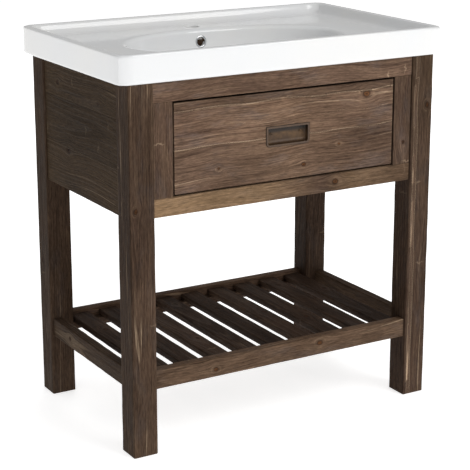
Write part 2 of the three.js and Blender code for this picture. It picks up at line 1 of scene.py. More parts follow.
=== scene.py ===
# A pine washstand with a slatted shelf, one drawer and a ceramic basin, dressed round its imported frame.
import bpy
import json
import math
import numpy as np
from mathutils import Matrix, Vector


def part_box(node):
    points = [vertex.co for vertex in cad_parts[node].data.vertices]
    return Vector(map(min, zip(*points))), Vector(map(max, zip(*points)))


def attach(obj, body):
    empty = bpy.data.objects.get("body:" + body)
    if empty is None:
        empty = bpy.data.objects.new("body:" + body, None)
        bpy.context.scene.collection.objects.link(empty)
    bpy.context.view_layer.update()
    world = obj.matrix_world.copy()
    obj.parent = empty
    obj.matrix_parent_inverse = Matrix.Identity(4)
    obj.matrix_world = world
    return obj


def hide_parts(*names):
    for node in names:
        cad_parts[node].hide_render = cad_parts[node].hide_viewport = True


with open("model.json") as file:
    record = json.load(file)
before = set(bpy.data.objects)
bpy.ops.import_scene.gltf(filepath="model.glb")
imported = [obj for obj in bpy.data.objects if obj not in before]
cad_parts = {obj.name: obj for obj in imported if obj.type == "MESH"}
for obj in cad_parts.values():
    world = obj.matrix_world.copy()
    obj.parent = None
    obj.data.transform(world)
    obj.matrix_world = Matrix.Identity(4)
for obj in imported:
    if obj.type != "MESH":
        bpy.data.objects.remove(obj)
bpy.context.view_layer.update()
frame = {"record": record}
record = frame["record"]
bodyOf = {node: body for body, nodes in record["behaviour"]["bodies"].items() for node in nodes}
slotOf = {part["node"]: part["material_slot"] for part in record["subparts"]}
axisNumber = {"x": 0, "y": 1, "z": 2}
scene = bpy.context.scene


class Wire:
    # A socket that can stand in a sum: an expression on wires adds its Math nodes.
    def __init__(self, paint, socket):
        self.paint = paint
        self.socket = socket

    def maths(self, operation, first, second=0.0, clamp=False):
        settings = {"operation": operation, "use_clamp": clamp}
        return self.paint.add("ShaderNodeMath", settings, {0: first, 1: second})

    def __add__(self, other):
        return self.maths("ADD", self, other)

    def __radd__(self, other):
        return self.maths("ADD", other, self)

    def __sub__(self, other):
        return self.maths("SUBTRACT", self, other)

    def __rsub__(self, other):
        return self.maths("SUBTRACT", other, self)

    def __mul__(self, other):
        return self.maths("MULTIPLY", self, other)

    def __rmul__(self, other):
        return self.maths("MULTIPLY", other, self)

    def fraction(self):
        return self.maths("FRACT", self)

    def sine(self):
        return self.maths("SINE", self)

    def size(self):
        return self.maths("ABSOLUTE", self)

    def clamped(self):
        return self.maths("ADD", self, 0.0, clamp=True)

    # A smooth rise from 0 at low to 1 at high, or a fall if low is above high
    def step(self, low, high):
        if low > high:
            return 1.0 - self.step(high, low)
        settings = {"interpolation_type": "SMOOTHSTEP"}
        return self.paint.add("ShaderNodeMapRange", settings, {0: self, 1: low, 2: high})


class Paint:
    # One material and its nodes
    def __init__(self, name):
        self.material = bpy.data.materials.new(name)
        self.material.use_nodes = True
        self.tree = self.material.node_tree
        self.surface = self.tree.nodes["Principled BSDF"]

    # Adds a node: first its settings, then the values or links of its sockets
    def add(self, kind, settings=None, inputs=None, output=0):
        node = self.tree.nodes.new(kind)
        for key, value in (settings or {}).items():
            if key == "stops":
                self.setStops(node.color_ramp, value)
            else:
                setattr(node, key, value)
        for key, value in (inputs or {}).items():
            self.feed(node.inputs[key], value)
        if isinstance(output, tuple):
            return [Wire(self, node.outputs[each]) for each in output]
        return Wire(self, node.outputs[output])

    def setStops(self, ramp, stops):
        while len(ramp.elements) < len(stops):
            ramp.elements.new(0.5)
        for element, (place, colour) in zip(ramp.elements, stops):
            element.position = place
            element.color = (*colour, 1.0)

    def feed(self, socket, value):
        if isinstance(value, Wire):
            self.tree.links.new(value.socket, socket)
        elif socket.type == "RGBA" and len(value) == 3:
            socket.default_value = (*value, 1.0)
        else:
            socket.default_value = value

    def set(self, **values):
        for name, value in values.items():
            self.feed(self.surface.inputs[name.replace("_", " ")], value)

    def blend(self, factor, first, second, mode="MIX"):
        settings = {"data_type": "RGBA", "blend_type": mode}
        return self.add("ShaderNodeMix", settings, {0: factor, 6: first, 7: second}, output=2)

    def attribute(self, name, output="Vector"):
        return self.add("ShaderNodeAttribute", {"attribute_name": name}, output=output)

    def parts(self, vector):
        return self.add("ShaderNodeSeparateXYZ", None, {0: vector}, output=("X", "Y", "Z"))

    def vector(self, x, y, z):
        return self.add("ShaderNodeCombineXYZ", None, {0: x, 1: y, 2: z})

    def stretched(self, vector, scale):
        return self.add("ShaderNodeVectorMath", {"operation": "MULTIPLY"}, {0: vector, 1: scale})

    def noise(self, vector, scale, detail=2.0, roughness=0.5):
        inputs = {"Vector": vector, "Scale": scale, "Detail": detail, "Roughness": roughness}
        return self.add("ShaderNodeTexNoise", None, inputs)

    def bump(self, height, distance, strength=1.0, normal=None):
        inputs = {"Strength": strength, "Distance": distance, "Height": height}
        if normal is not None:
            inputs["Normal"] = normal
        return self.add("ShaderNodeBump", None, inputs, output="Normal")

    def place(self):
        return self.add("ShaderNodeTexCoord", None, None, output="Object")


# Pine: growth rings, fibres, knots and an uneven stain. It reads what each board carries:
# fibre = place along and across the grain, growth = (ring radius, knot distance, distance to a glued
# seam), stain and shade = (lightness, warmth, strength of the streaks), wear = 1 on its arrises. The
# lightness holds painted shade too: on left faces, on narrow faces in the gaps and on the back legs.
# The arrises are painted pale, partly as wear and partly as a painted highlight.
def makePine(name, look):
    paint = Paint(name)
    fibre = paint.attribute("fibre")
    ring, knot, seam = paint.parts(paint.attribute("growth"))
    wearAndHighlight = paint.attribute("wear", "Fac")
    light, warm, streaky = paint.parts(paint.attribute("stain"))

    along, acrossGrain, through = paint.parts(fibre)
    # A place told by its growth ring: noise read there runs in lines along the grain.
    lines = paint.vector(along, ring, through)
    drift = paint.noise(paint.stretched(lines, (1.2, 45.0, 4.0)), 1.0, 2.0)
    phase = (ring * look["ringsPerMetre"] + drift * 3.5).fraction()
    late = phase.step(0.35, 0.86) * phase.step(1.0, 0.93)  # a slow rise and a quick fall in each ring

    # Noise with its own scale along the grain and across it
    def fibreNoise(lengthwise, crosswise, detail, roughness):
        place = paint.stretched(fibre, (lengthwise, crosswise, crosswise))
        return paint.noise(place, 1.0, detail, roughness)

    patch = fibreNoise(4.0, 12.0, 4.0, 0.6)
    cloud = fibreNoise(10.0, 26.0, 4.0, 0.65)
    medium = fibreNoise(8.0, 320.0, 3.0, 0.6)
    fine = fibreNoise(12.0, 430.0, 3.0, 0.7)
    hairs = fibreNoise(7.0, 230.0, 2.0, 0.55)
    pores = fibreNoise(34.0, 1300.0, 1.0, 0.5)
    grit = fibreNoise(60.0, 400.0, 2.0, 0.7)
    paleLine = paint.noise(paint.stretched(lines, (3.0, 210.0, 30.0)), 1.0, 1.0, 0.5).step(0.66, 0.74)
    darkLine = paint.noise(paint.stretched(lines, (2.5, 230.0, 40.0)), 1.0, 2.0, 0.5).step(0.42, 0.33)
    bend = paint.noise(fibre, 90.0, 1.0)
    bentPlace = paint.vector(along + 0.018 * bend, acrossGrain, through)
    cells = {"Vector": paint.stretched(bentPlace, (85.0, 15.0, 15.0)), "Scale": 1.0}
    spot, spotTint = paint.add("ShaderNodeTexVoronoi", None, cells, ("Distance", "Color"))
    chosen = paint.parts(spotTint)[0].step(0.940, 0.955)
    tear = spot.step(0.26, 0.12) * chosen  # short pale nicks across the grain

    knot = knot + (cloud - 0.5) * 1.3
    core = knot.step(1.05, 0.45)  # the knot itself
    collar = knot.step(2.1, 1.15) * (1.0 - core) * hairs.step(0.42, 0.6)  # tight pale grain round it
    knotRings = (knot * 9.0 + patch * 3.0).sine() * 0.5 + 0.5
    crack = knot.step(0.34, 0.08)

    body = patch.step(0.34, 0.66) * 0.38 + medium.step(0.30, 0.70) * 0.34
    body = body + fine.step(0.34, 0.66) * 0.28
    seamLine = seam.size().step(0.0018, 0.0006) * hairs.step(0.40, 0.58) * patch.step(0.40, 0.52)
    layers = [
        (cloud.step(0.48, 0.70) * 0.6, look["grey"]),
        (warm.clamped(), look["warm"]),
        ((late * 0.22 * hairs.step(0.3, 0.62)).clamped(), look["line"]),
        (fine.step(0.52, 0.78) * (0.22 + 0.35 * streaky), look["line"]),
        (fine.step(0.48, 0.26) * 0.6 + medium.step(0.42, 0.25) * 0.3, look["deep"]),
        (darkLine * 0.26, look["deep"]),
        (paleLine * streaky * hairs.step(0.34, 0.58), look["pale"]),
        (tear * look["tears"], look["pale"]),
        (collar * knotRings * 0.5, look["line"]),
        (core * 0.9, paint.blend(knotRings, look["knot"], look["knotDark"])),
        (crack * 0.85, look["deep"]),
        (seamLine, look["pale"]),
        # Pale arrises: partly wear, partly a painted highlight.
        (wearAndHighlight * hairs.step(0.4, 0.6) * 0.28, look["line"]),
    ]
    ground = paint.blend(body, look["dark"], look["mid"])
    for strength, tint in layers:
        ground = paint.blend(strength, ground, tint)
    level = light * (0.22 + 1.56 * grit)
    level = paint.vector(level, level, level)
    colour = paint.blend(1.0, ground, level, "MULTIPLY")

    rough = look["roughness"] + 0.16 * fine - 0.1 * late
    grainHeight = late * 0.4 + fine * 0.7 + medium * 0.8 - darkLine * 0.5 - core * 0.4 - crack * 0.8
    normal = paint.bump(grainHeight, look["brushing"], 0.75)
    normal = paint.bump(pores.step(0.4, 0.7), look["brushing"] * 0.35, 0.5, normal)
    paint.set(Base_Color=colour, Roughness=rough, Normal=normal)
    paint.set(Specular_IOR_Level=look["gloss"])
    return paint.material


stainLook = {
    "dark": (0.084, 0.048, 0.032), "mid": (0.163, 0.102, 0.070), "grey": (0.122, 0.090, 0.078),
    "warm": (0.205, 0.132, 0.066), "line": (0.275, 0.180, 0.112), "pale": (0.520, 0.375, 0.250),
    "deep": (0.026, 0.015, 0.010), "knot": (0.125, 0.052, 0.020), "knotDark": (0.028, 0.014, 0.009),
    "ringsPerMetre": 170.0, "roughness": 0.52, "brushing": 0.0011, "gloss": 0.03, "tears": 0.38,
}
plainLook = {
    "dark": (0.40, 0.25, 0.13), "mid": (0.50, 0.33, 0.18), "grey": (0.46, 0.32, 0.19),
    "warm": (0.50, 0.30, 0.14), "line": (0.36, 0.19, 0.08), "pale": (0.60, 0.44, 0.27),
    "deep": (0.24, 0.13, 0.06), "knot": (0.20, 0.085, 0.03), "knotDark": (0.11, 0.045, 0.018),
    "ringsPerMetre": 190.0, "roughness": 0.42, "brushing": 0.0004, "gloss": 0.4, "tears": 0.0,
}


# A white body under a clear coat, faintly uneven, a little cream where it pools
def makeGlaze():
    paint = Paint("glazedCeramic")
    place = paint.place()
    swell = paint.noise(place, 6.0, 2.0)
    orange = paint.noise(place, 90.0, 2.0)
    speck = paint.noise(place, 900.0, 0.0)
    tint = paint.blend(swell.step(0.35, 0.7), (0.806, 0.813, 0.819), (0.826, 0.824, 0.813))
    tint = paint.blend(speck.step(0.79, 0.84) * 0.25, tint, (0.60, 0.58, 0.54))
    rough = 0.10 + 0.05 * orange
    normal = paint.bump(orange + swell * 3.0, 0.00012, 0.35)
    paint.set(Base_Color=tint, Roughness=rough, Normal=normal)
    paint.set(Coat_Weight=0.6, Coat_Roughness=0.04, Specular_IOR_Level=0.5)
    return paint.material


# Metal with fine handling marks and a second colour where it is rubbed or dulled
def makeMetal(name, look):
    paint = Paint(name)
    place = paint.place()
    cloud = paint.noise(paint.stretched(place, look["stretch"]), look["cloudScale"], 4.0, 0.6)
    grain = paint.noise(paint.stretched(place, look["stretch"]), look["grainScale"], 2.0, 0.6)
    colour = paint.blend(cloud.step(0.38, 0.68), look["base"], look["rubbed"])
    colour = paint.blend(grain.step(0.55, 0.8) * look["speckle"], colour, look["mark"])
    # The dark in the creases is partly patina and partly painted shadow.
    if look.get("patinaAndShadow"):  # dark in the creases that the piece marks
        crease = paint.attribute("crease", "Fac")
        colour = paint.blend((crease * (0.7 + 0.6 * cloud)).clamped(), colour, look["patinaAndShadow"])
        colour = paint.blend((-1.0 * crease).clamped(), colour, look["crown"])
    rough = look["roughness"] + look["roughSpread"] * cloud
    normal = paint.bump(grain + cloud * 2.0, look["relief"], 0.5)
    paint.set(Base_Color=colour, Roughness=rough, Normal=normal)
    paint.set(Metallic=look["metallic"])
    return paint.material


chromeLook = {
    "stretch": (1.0, 1.0, 1.0), "cloudScale": 40.0, "grainScale": 900.0,
    "base": (0.58, 0.60, 0.62), "rubbed": (0.66, 0.67, 0.68), "mark": (0.45, 0.46, 0.47),
    "speckle": 0.15, "roughness": 0.07, "roughSpread": 0.06, "relief": 0.00002, "metallic": 1.0,
}
bronzeLook = {
    "stretch": (1.0, 1.0, 1.0), "cloudScale": 55.0, "grainScale": 700.0,
    "base": (0.062, 0.030, 0.011), "rubbed": (0.118, 0.062, 0.022), "mark": (0.022, 0.014, 0.009),
    "speckle": 0.55, "roughness": 0.38, "roughSpread": 0.18, "relief": 0.00012, "metallic": 0.25,
    "patinaAndShadow": (0.010, 0.006, 0.004), "crown": (0.080, 0.050, 0.034),
}
zincLook = {
    "stretch": (1.0, 0.06, 1.0), "cloudScale": 60.0, "grainScale": 1500.0,
    "base": (0.46, 0.48, 0.49), "rubbed": (0.58, 0.59, 0.59), "mark": (0.33, 0.35, 0.37),
    "speckle": 0.35, "roughness": 0.26, "roughSpread": 0.16, "relief": 0.00004, "metallic": 1.0,
}


def makeRubber():
    paint = Paint("blackRubber")
    place = paint.place()
    bloom = paint.noise(place, 120.0, 3.0, 0.6)
    colour = paint.blend(bloom.step(0.45, 0.75), (0.018, 0.018, 0.019), (0.040, 0.040, 0.042))
    normal = paint.bump(paint.noise(place, 1400.0, 1.0), 0.00006, 0.5)
    paint.set(Base_Color=colour, Roughness=0.68 + 0.15 * bloom, Normal=normal)
    return paint.material


materials = {
    "stained_pine": makePine("stainedPine", stainLook),
    "drawer_pine": makePine("drawerPine", plainLook),
    "glazed_ceramic": makeGlaze(),
    "chrome_plate": makeMetal("chromePlate", chromeLook),
    "aged_bronze": makeMetal("agedBronze", bronzeLook),
    "zinc_steel": makeMetal("zincSteel", zincLook),
    "black_rubber": makeRubber(),
}
print("materials made")


# Arrays of the same shape (or numbers) laid side by side along a new last axis
def together(*parts):
    return np.stack(np.broadcast_arrays(*parts), axis=-1)


# Smooth pseudo-noise between about -1 and 1: a sum of eight sine waves whose directions and phases
# come from the seed. The last axis of points is the place.
def ripple(points, seed, wavelength):
    points = np.atleast_2d(points)
    draw = np.random.default_rng(seed)
    directions = draw.normal(size=(8, points.shape[-1]))
    directions *= 2 * math.pi / wavelength / np.linalg.norm(directions, axis=1, keepdims=True)
    directions *= draw.uniform(0.5, 1.6, size=(8, 1))
    phases = draw.uniform(0, 2 * math.pi, 8)
    return np.sin(points @ directions.T + phases).sum(axis=-1) / 4.0


# A mesh piece, turned outwards, with sharp edges past an angle
def newPiece(name, points, faces, smoothAngle=38.0):
    mesh = bpy.data.meshes.new(name)
    mesh.from_pydata(points.tolist(), [], faces)
    mesh.validate()
    if enclosed(mesh) < 0:
        mesh.flip_normals()
    mesh.shade_smooth()
    mesh.set_sharp_from_angle(angle=math.radians(smoothAngle))
    piece = bpy.data.objects.new(name, mesh)
    scene.collection.objects.link(piece)
    return piece


def placesOf(mesh):
    places = np.empty(len(mesh.vertices) * 3, dtype=np.float32)
    mesh.vertices.foreach_get("co", places)
    return places.reshape(-1, 3).astype(float)


# The volume inside a mesh, as signed tetrahedra from its middle to each triangle
def enclosed(mesh):
    mesh.calc_loop_triangles()
    corners = np.empty(len(mesh.loop_triangles) * 3, dtype=np.int32)
    mesh.loop_triangles.foreach_get("vertices", corners)
    places = placesOf(mesh)
    triangles = (places - places.mean(axis=0))[corners.reshape(-1, 3)]
    return np.einsum("ij,ij->i", triangles[:, 0], np.cross(triangles[:, 1], triangles[:, 2])).sum() / 6


# Quads between the rows of a grid, closed round its columns (and its rows if asked)
def gridFaces(rows, columns, closedRows=False):
    row = np.arange(rows if closedRows else rows - 1)[:, None]
    column = np.arange(columns)[None, :]
    below, above = row * columns, (row + 1) % rows * columns
    following = (column + 1) % columns
    quads = together(below + column, below + following, above + following, above + column)
    return quads.reshape(-1, 4).tolist()


# A closed skin over a grid of points: fans or flat faces close its ends, or it is a loop.
def closedSkin(points, ends="fans"):
    rows, columns, _ = points.shape
    faces = gridFaces(rows, columns, ends == "loop")
    flat = points.reshape(-1, 3)
    if ends == "fans":
        column = np.arange(columns)
        following = (column + 1) % columns
        first, last = np.full(columns, rows * columns), np.full(columns, rows * columns + 1)
        end = (rows - 1) * columns
        faces += together(first, following, column).tolist()
        faces += together(last, end + column, end + following).tolist()
        flat = np.vstack([flat, points[0].mean(axis=0), points[-1].mean(axis=0)])
    if ends == "flat":
        faces.append(np.arange(columns)[::-1].tolist())
        faces.append(np.arange((rows - 1) * columns, rows * columns).tolist())
    return flat, faces


# Rounds an outline's corners: a parabola replaces each, from a distance before it to one after.
def rounded(corners, radius, steps=4):
    corners = np.asarray(corners, float)
    radius = np.broadcast_to(np.asarray(radius, float), len(corners))[:, None]
    share = np.linspace(0, 1, steps + 1)[None, :, None]
    before = np.roll(corners, 1, axis=0) - corners
    after = np.roll(corners, -1, axis=0) - corners
    lengthBefore = np.linalg.norm(before, axis=1, keepdims=True)
    lengthAfter = np.linalg.norm(after, axis=1, keepdims=True)
    start = before / lengthBefore * np.minimum(radius, lengthBefore * 0.48)
    end = after / lengthAfter * np.minimum(radius, lengthAfter * 0.48)
    curve = start[:, None] * (1 - share) ** 2 + end[:, None] * share ** 2
    return (corners[:, None] + curve).reshape(-1, 2)


# Turns a profile of (radius, height) about the upright line through centre
def turnedSkin(profile, centre, segments=48, ends="loop"):
    angle = np.arange(segments) * 2 * math.pi / segments
    profile = np.asarray(profile, float)
    radius, height = profile[:, 0][:, None], profile[:, 1][:, None]
    points = together(centre[0] + radius * np.cos(angle), centre[1] + radius * np.sin(angle),
            centre[2] + height)
    return closedSkin(points, ends)


# Cuts the shape of a cutter out of a piece, then removes the cutter
def carve(piece, cutter, smoothAngle=38.0):
    cutting = piece.modifiers.new("cutting", "BOOLEAN")
    cutting.object = cutter
    cutting.solver = "EXACT"
    view = bpy.context.evaluated_depsgraph_get()
    carved = bpy.data.meshes.new_from_object(piece.evaluated_get(view))
    piece.modifiers.clear()
    old = piece.data
    carved.name = piece.name
    piece.data = carved
    bpy.data.meshes.remove(old)
    bpy.data.objects.remove(cutter)
    carved.shade_smooth()
    carved.set_sharp_from_angle(angle=math.radians(smoothAngle))
    return piece


# Puts a finished piece in the place of its CAD node
def standIn(piece, node):
    piece.data.materials.clear()
    piece.data.materials.append(materials[slotOf[node]])
    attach(piece, bodyOf[node])
    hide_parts(node)
    return piece


def boxOf(node):
    low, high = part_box(node)
    return np.array(low), np.array(high)


def radiusOf(node):
    low, high = boxOf(node)
    return (high[0] - low[0]) / 2


# A board: a rounded rectangle carried along the grain. Its section is drawn in at both ends along a
# quarter circle, its arrises are worn back by a slow ripple, and its faces lie a hair below flat.
def boardSkin(low, high, grain, look):
    middle, half = (low + high) / 2, (high - low) / 2
    across, through = [axis for axis in range(3) if axis != grain]
    radius = look["arris"]
    quarter = np.linspace(0, math.pi / 2, 5)
    section, outward = [], []
    for turn, (signA, signB) in enumerate([(1, 1), (-1, 1), (-1, -1), (1, -1)]):
        angle = quarter + turn * math.pi / 2
        centre = np.array([signA * (half[across] - radius), signB * (half[through] - radius)])
        direction = together(np.cos(angle), np.sin(angle))
        span = 2 * (half[through] if turn % 2 else half[across]) - 2 * radius
        count = max(2, int(round(span / look["cell"])))
        run = np.array([-direction[-1][1], direction[-1][0]])
        flat = centre + radius * direction[-1] + run * (np.arange(1, count) / count * span)[:, None]
        section += [centre + radius * direction, flat]
        outward += [direction, np.repeat(direction[-1:], count - 1, axis=0)]
    section, outward = np.vstack(section), np.vstack(outward)

    easing = radius * look["endShare"]
    ends = easing * (1 - np.cos(quarter))
    inset = easing * (1 - np.sin(quarter))
    length = 2 * (half[grain] - easing)
    count = max(2, int(round(length / look["cell"])))
    straight = -half[grain] + easing + np.arange(1, count) / count * length
    along = np.concatenate([-half[grain] + ends, straight, half[grain] - ends[::-1]])
    inset = np.concatenate([inset, np.zeros(count - 1), inset[::-1]])

    points = np.empty((len(along), len(section), 3))
    points[..., grain] = middle[grain] + along[:, None]
    points[..., [across, through]] = middle[[across, through]] + section - outward * inset[:, None, None]
    edge = np.abs(outward).min(axis=1)  # 0 on a flat and most at an arris's middle
    slow = ripple(points.reshape(-1, 3), look["seed"], 0.06).reshape(points.shape[:2])
    sink = 0.00006 * (1 + slow) + look["wear"] * edge * np.clip(0.5 + slow, 0, 1.5)
    points[..., [across, through]] -= outward * sink[..., None]
    return closedSkin(points)


# What the wood is like at each place on a board. The grain runs along s, u lies across the board's
# width and v through it. Growth rings are circles round a pith behind the board, bent by a slow wave
# and parted round each knot: near one, u is drawn towards the knot's middle.
def growWood(piece, low, high, grain, look):
    draw = np.random.default_rng(look["seed"])
    middle, half = (low + high) / 2, (high - low) / 2
    places = placesOf(piece.data) - middle
    across, through = sorted((axis for axis in range(3) if axis != grain), key=lambda axis: -half[axis])
    s, u, v = places[:, grain], places[:, across], places[:, through]
    slow = together(s, 0.35 * u, 0.2 * v)
    plank = np.zeros(len(s), dtype=int)
    seam = np.full(len(s), 1.0)
    for height in look["seams"]:
        curve = height + look["seamWave"] * ripple(s[:, None], look["seed"] + 3, 0.22)
        plank += u > curve
        seam = np.where(np.abs(u - curve) < np.abs(seam), u - curve, seam)
    planks = len(look["seams"]) + 1
    offset = draw.uniform(0, 9, size=(planks, 3))[plank]
    pithSide = draw.uniform(-0.5, 0.5, planks)[plank] * half[across]
    lean = draw.uniform(-1, 1, planks)[plank] * look["lean"]
    bent = u + look["wave"] * ripple(slow, look["seed"] + 1, 0.30)
    nearest = np.full(len(s), 9.0)
    for knotS, knotU, size in look["knots"]:
        distance = np.hypot((s - knotS * half[grain]) / 1.35, u - knotU * half[across]) / size
        bent -= (u - knotU * half[across]) * 0.85 * np.exp(-((distance / 2.6) ** 2))
        nearest = np.minimum(nearest, distance)
    ring = np.hypot(bent - pithSide, v - look["pith"] + lean * s)
    depth = half - np.abs(places)
    arris = np.sort(depth, axis=1)[:, 1]
    stops = np.array(look["tone"], float)
    light = np.interp(s / half[grain], stops[:, 0], stops[:, 1]) * np.array(look["plankLight"])[plank]
    blotch = ripple(together(s, 2 * u, v), look["seed"] + 2, 0.16)
    light = light * (1 + look["mottle"] * blotch)
    # Painted shade in the gaps: the narrow faces, which look across a gap at a neighbour, are darkened.
    onNarrow = (np.abs(u) > half[across] - 0.0011) & (half[across] > half[through])
    light = np.where(onNarrow, light * look["narrowLight"], light)
    # Painted shade: each board's left face is darkened, as if less light fell on that side.
    light = np.where(places[:, 0] < 0.0015 - half[0], light * look["paintedLeftShade"], light)
    warm = np.interp(s / half[grain], stops[:, 0], stops[:, 2])
    streaks = np.full(len(s), look["streaks"])
    writeVectors(piece.data, "fibre", together(s, bent, v) + offset)
    writeVectors(piece.data, "growth", together(ring, nearest, seam))
    writeVectors(piece.data, "stain", together(light, warm, streaks))
    # 1 on the arrises, which the pine paints pale: partly wear, partly a painted highlight.
    wear = piece.data.attributes.new("wear", "FLOAT", "POINT")
    wear.data.foreach_set("value", np.clip(1 - arris / 0.0035, 0, 1).astype(np.float32))


def writeVectors(mesh, name, values):
    layer = mesh.attributes.new(name, "FLOAT_VECTOR", "POINT")
    layer.data.foreach_set("vector", np.ascontiguousarray(values, dtype=np.float32).ravel())


# What every board shares. tone lists (place along the board from -1 to 1, lightness, warmth); knots
# lists (place along, place across, radius); pith is how far behind the board the rings are centred.
boardLook = {
    "cell": 0.005, "arris": 0.0016, "endShare": 0.5, "wear": 0.0007, "wave": 0.006, "lean": 0.05,
    "pith": -0.05, "mottle": 0.10, "streaks": 0.5, "tone": [(-1, 1.0, 0.0), (1, 1.0, 0.0)], "knots": [],
    "seams": [], "seamWave": 0.0, "plankLight": [1.0], "narrowLight": 1.0, "paintedLeftShade": 1.0,
    "seed": 1,
}


# Makes a board over its node's box, cut short where it meets the nodes named in ends (the box holds
# its hidden tenons).
def makeBoard(node, grain, ends=None, carving=None, **changes):
    low, high = boxOf(node)
    axis = axisNumber[grain]
    if ends:
        low[axis], high[axis] = boxOf(ends[0])[1][axis], boxOf(ends[1])[0][axis]
    look = {**boardLook, **changes}
    piece = newPiece(node + "_board", *boardSkin(low, high, axis, look))
    if carving:
        carve(piece, carving)
    growWood(piece, low, high, axis, look)
    return standIn(piece, node)


def evenTone(light, warm=0.0):
    return [(-1, light, warm), (1, light, warm)]


# Each leg's left face is darkened as painted shade.
legLooks = {
    "leg_front_left": {"seed": 11, "paintedLeftShade": 0.63,
        "tone": [(-1, 0.56, 0.1), (0.2, 0.50, 0.0), (1, 0.54, 0.1)],
        "streaks": 0.75, "wave": 0.004, "knots": [(0.35, -0.55, 0.006)]},
    "leg_front_right": {"seed": 12, "seams": [-0.020, -0.011], "seamWave": 0.0018,
        "plankLight": [0.95, 1.6, 0.95], "paintedLeftShade": 0.62,
        "tone": [(-1, 0.60, 0.0), (0.3, 0.56, 0.0), (1, 0.48, 0.2)],
        "streaks": 0.85, "wave": 0.004, "knots": [(0.72, 0.5, 0.008)]},
    # The back legs' low lightness is painted shade: their seen faces stand in shade.
    "leg_back_left": {"seed": 13, "paintedLeftShade": 0.85, "tone": evenTone(0.36, 0.1), "streaks": 0.4,
        "knots": [(-0.2, 0.3, 0.006)]},
    "leg_back_right": {"seed": 14, "tone": evenTone(0.30, 0.0), "streaks": 0.4, "knots": []},
}
for node, changes in legLooks.items():
    makeBoard(node, "z", arris=0.0024, cell=0.0056, wear=0.0009, pith=-0.04, **changes)

railLooks = {
    "front_top_rail": {"seed": 21, "tone": evenTone(0.97, 0.0), "wave": 0.010, "lean": 0.1,
        "streaks": 0.7},
    "front_bottom_rail": {"seed": 22, "tone": [(-1, 1.48, 0.6), (-0.2, 1.22, 0.55), (0.28, 0.62, 0.0),
        (0.5, 0.85, 0.4), (1, 0.82, 0.2)],
        "mottle": 0.22, "streaks": 0.9, "wave": 0.004, "wear": 0.0016,
        "knots": [(0.38, 0.1, 0.008)]},
    "back_top_rail": {"seed": 23, "tone": evenTone(0.8)},
    "back_bottom_rail": {"seed": 24, "tone": evenTone(0.75), "knots": [(-0.4, 0.2, 0.009)]},
    "shelf_front_rail": {"seed": 25, "tone": evenTone(0.78, 0.15), "streaks": 0.7,
        "knots": [(0.28, 0.3, 0.008), (-0.55, -0.2, 0.006)], "wave": 0.005},
    "shelf_back_rail": {"seed": 26, "tone": evenTone(0.62)},
}
for node, changes in railLooks.items():
    side = "back" if "back" in node else "front"
    makeBoard(node, "x", ends=(f"leg_{side}_left", f"leg_{side}_right"), **changes)

sideLooks = {
    "side_panel_left": {"seed": 31, "tone": [(-1, 0.25, 0.55), (0.3, 0.22, 0.5), (1, 0.27, 0.6)],
        "seams": [-0.045, 0.062], "plankLight": [1.1, 0.9, 1.05], "streaks": 0.7,
        "lean": 0.035, "wave": 0.008,
        "knots": [(0.35, -0.35, 0.009), (-0.5, 0.55, 0.007), (0.62, 0.66, 0.006)]},
    "side_panel_right": {"seed": 32, "tone": evenTone(0.42), "seams": [-0.05, 0.04], "streaks": 0.4,
        "plankLight": [1.0, 1.15, 0.9], "lean": 0.08, "wave": 0.008,
        "knots": [(-0.3, 0.4, 0.010), (0.5, -0.5, 0.008)]},
    "shelf_side_rail_left": {"seed": 33, "tone": evenTone(0.30, 0.2), "knots": [(0.5, 0.0, 0.006)]},
    "shelf_side_rail_right": {"seed": 34, "tone": evenTone(0.34, 0.2), "knots": []},
}
for node, changes in sideLooks.items():
    side = node.rsplit("_", 1)[1]
    makeBoard(node, "y", ends=(f"leg_front_{side}", f"leg_back_{side}"), **changes)

# The stiles' narrow sides are darkened as painted shade in the drawer's gaps.
for number, side in enumerate(("left", "right")):
    makeBoard(f"drawer_stile_{side}", "z", ends=("front_bottom_rail", "front_top_rail"), arris=0.0012,
            narrowLight=0.35, seed=41 + number, tone=evenTone(0.72 - 0.08 * number), streaks=0.6,
            knots=[(-0.5, 0.2, 0.007)] if number else [])
    makeBoard(f"back_stile_{side}", "z", ends=("back_bottom_rail", "back_top_rail"), arris=0.0012,
            seed=43 + number, tone=evenTone(0.75))
print("frame boards made")

slatTones = (0.30, 0.25, 0.33, 0.27, 0.24, 0.31, 0.26, 0.29, 0.25)
for number, light in enumerate(slatTones, start=1):
    makeBoard(f"shelf_slat_{number}", "y", seed=50 + number, tone=evenTone(light), arris=0.0018,
            streaks=0.6, wave=0.003, pith=-0.03, mottle=0.24,
            knots=[(0.7 - 0.37 * (number % 4), 0.3 - 0.2 * (number % 3), 0.007)])
for side, seed in (("front", 61), ("back", 62)):
    makeBoard(f"shelf_cleat_{side}", "x", seed=seed, tone=evenTone(0.5), arris=0.001)
print("shelf made")

# The drawer's box is plain pine, planed and lacquered, on boards of its own.
plainLooks = {
    "runner_board_left": ("y", 71), "runner_board_right": ("y", 72),
    "drawer_box_front": ("x", 73), "drawer_side_left": ("y", 74), "drawer_side_right": ("y", 75),
    "drawer_back_left": ("x", 76), "drawer_back_right": ("x", 77), "recess_front": ("x", 78),
    "recess_side_left": ("y", 79), "recess_side_right": ("y", 80),
}
for node, (grain, seed) in plainLooks.items():
    makeBoard(node, grain, seed=seed, arris=0.0012, wear=0.0002, streaks=0.3, mottle=0.05, lean=0.08,
            knots=[(0.45, 0.2, 0.006)] if seed in (73, 75) else [])

